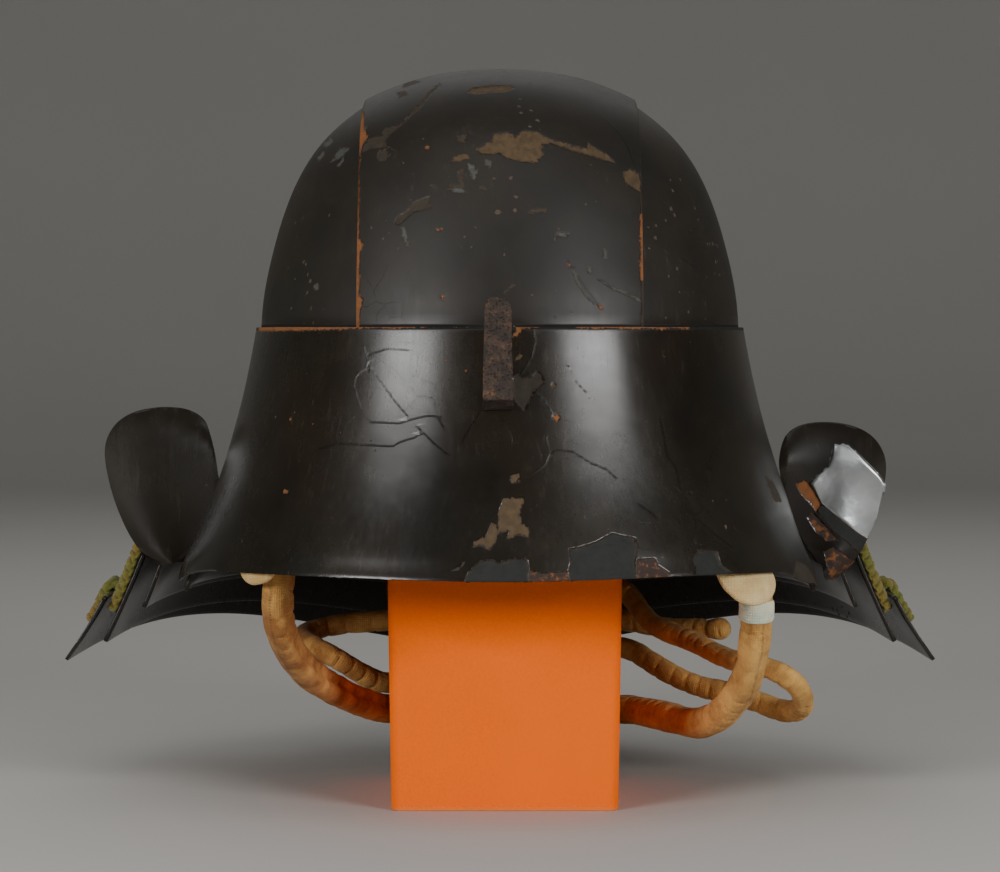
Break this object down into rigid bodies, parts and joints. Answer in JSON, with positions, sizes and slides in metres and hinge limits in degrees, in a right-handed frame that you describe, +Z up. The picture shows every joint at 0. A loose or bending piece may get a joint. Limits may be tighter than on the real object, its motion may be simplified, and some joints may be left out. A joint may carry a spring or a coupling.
{
  "type": "kabuto samurai helmet on a plain card stand",
  "caption": "Worn lacquered iron kabuto with flared brow plate, ear flaps, laced neck guard and chin cord, held up on a plain orange card box stand.",
  "frame": {"origin": "on the floor under the middle of the helmet, on the face of the stand's foot", "axes": "+Z up, -Y is the way the helmet faces, +X is on the right of the picture"},
  "size_m": [0.38, 0.332, 0.3113],
  "materials": {
    "lacquered_iron": "worn satin lacquer",
    "rusted_iron": "pitted and rusted",
    "orange_card": "matte",
    "padded_cloth": "soft woven cloth",
    "braided_lacing": "faded braid"
  },
  "bodies": {
    "root": {"crown_plate": "lacquered_iron", "side_plate_left": "lacquered_iron", "side_plate_right": "lacquered_iron", "brow_plate": "lacquered_iron", "base_band": "lacquered_iron", "neck_lame_1": "lacquered_iron", "neck_lame_2": "lacquered_iron", "neck_lame_3": "lacquered_iron", "neck_lame_4": "lacquered_iron", "crest_hook": "rusted_iron", "stand": "orange_card", "chin_cord": "padded_cloth", "back_cord": "padded_cloth", "cord_tab_left": "padded_cloth", "cord_tab_right": "padded_cloth", "lacing_11": "braided_lacing", "lacing_12": "braided_lacing", "lacing_13": "braided_lacing", "lacing_21": "braided_lacing", "lacing_22": "braided_lacing", "lacing_23": "braided_lacing", "lacing_31": "braided_lacing", "lacing_32": "braided_lacing", "lacing_33": "braided_lacing", "lacing_41": "braided_lacing", "lacing_42": "braided_lacing", "lacing_43": "braided_lacing", "lacing_51": "braided_lacing", "lacing_52": "braided_lacing", "lacing_53": "braided_lacing", "lacing_61": "braided_lacing", "lacing_62": "braided_lacing", "lacing_63": "braided_lacing", "lacing_71": "braided_lacing", "lacing_72": "braided_lacing", "lacing_73": "braided_lacing"}
  },
  "joints": []
}
